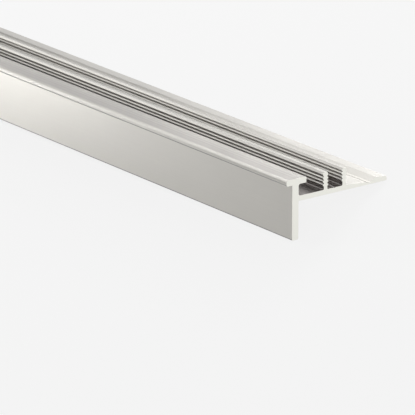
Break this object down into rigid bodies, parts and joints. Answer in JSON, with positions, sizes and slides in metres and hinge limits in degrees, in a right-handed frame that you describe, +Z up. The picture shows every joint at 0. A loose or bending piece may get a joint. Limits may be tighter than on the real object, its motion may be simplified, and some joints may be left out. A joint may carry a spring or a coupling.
{
  "type": "stair nosing",
  "caption": "Extruded aluminium stair nosing base profile: drop plate under a rounded lip, base flange for the tread and serrated uprights that grip a cover profile.",
  "frame": {"origin": "middle of the length, centre of the footprint, on the floor that the piece lies on", "axes": "+X along the length, +Y towards the rear edge of the base flange, +Z up. The piece lies back on the foot of the drop plate and the rear edge of the flange, so its fitted pose is turned back by 19.6 degrees about X"},
  "size_m": [1, 0.0502, 0.0251],
  "materials": {
    "anodised_aluminium": "satin silver anodised, with fine lengthwise extrusion lines"
  },
  "bodies": {
    "root": {"nosing_profile": "anodised_aluminium"}
  },
  "joints": []
}
